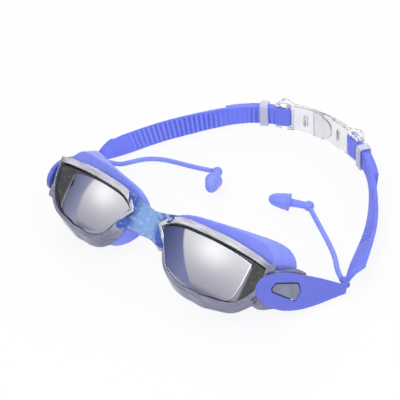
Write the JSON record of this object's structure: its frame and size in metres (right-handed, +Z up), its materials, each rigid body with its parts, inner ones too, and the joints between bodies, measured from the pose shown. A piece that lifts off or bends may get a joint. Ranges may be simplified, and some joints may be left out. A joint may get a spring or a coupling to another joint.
{
  "type": "swim goggles",
  "caption": "Swim goggles with mirrored folded lenses, silicone gaskets and nose bridge, leaf-ended headband buttoned on temple arms, back clip and tethered ear plugs.",
  "frame": {"origin": "on the table, under the middle of the goggles with their headband", "axes": "+Z up from the table, +X to the wearer's left along the width, -Y the way the goggles face"},
  "size_m": [0.2002, 0.1738, 0.0443],
  "materials": {
    "bridge_silicone": "translucent light blue, glossy",
    "gasket_silicone": "smooth translucent blue",
    "strap_silicone": "smooth satin blue, ribbed inside",
    "plug_silicone": "soft satin blue",
    "clear_frame": "clear with a silver-lavender cast, polished",
    "mirror_lens": "silver mirror coated front, dark behind",
    "peg_plastic": "grey silver, polished",
    "clip_plastic": "clear, faintly lavender"
  },
  "bodies": {
    "front": {"nose_bridge": "bridge_silicone", "left_rim": "clear_frame", "right_rim": "clear_frame", "left_lens": "mirror_lens", "right_lens": "mirror_lens", "left_peg": "peg_plastic", "right_peg": "peg_plastic", "left_gasket": "gasket_silicone", "right_gasket": "gasket_silicone"},
    "headband": {"left_strap": "strap_silicone", "right_strap": "strap_silicone", "left_clip": "clip_plastic", "right_clip": "clip_plastic"},
    "left_keeper": {"left_keeper": "clip_plastic"},
    "right_keeper": {"right_keeper": "clip_plastic"},
    "left_plug": {"left_tether": "plug_silicone", "left_ear_plug": "plug_silicone"},
    "right_plug": {"right_tether": "plug_silicone", "right_ear_plug": "plug_silicone"}
  },
  "joints": [
    {"name": "headband_rock", "type": "hinge", "parent": "front", "child": "headband", "pos_m": [0, -0.05639, 0.0192], "axis": [1, 0, 0], "range_deg": [-2.5, 2.5]},
    {"name": "left_keeper_slide", "type": "slide", "parent": "headband", "child": "left_keeper", "axis": [-0.8758, 0.4827, 0], "range_m": [-0.0015, 0.003]},
    {"name": "right_keeper_slide", "type": "slide", "parent": "headband", "child": "right_keeper", "axis": [0.8758, 0.4827, 0], "range_m": [-0.0015, 0.003]},
    {"name": "left_plug_swing", "type": "hinge", "parent": "headband", "child": "left_plug", "pos_m": [0.09125, -0.01572, 0.00196], "axis": [0, 0, 1], "range_deg": [-10, 10]},
    {"name": "right_plug_swing", "type": "hinge", "parent": "headband", "child": "right_plug", "pos_m": [-0.09258, -0.01771, 0.00206], "axis": [0, 0, 1], "range_deg": [-10, 10]}
  ]
}
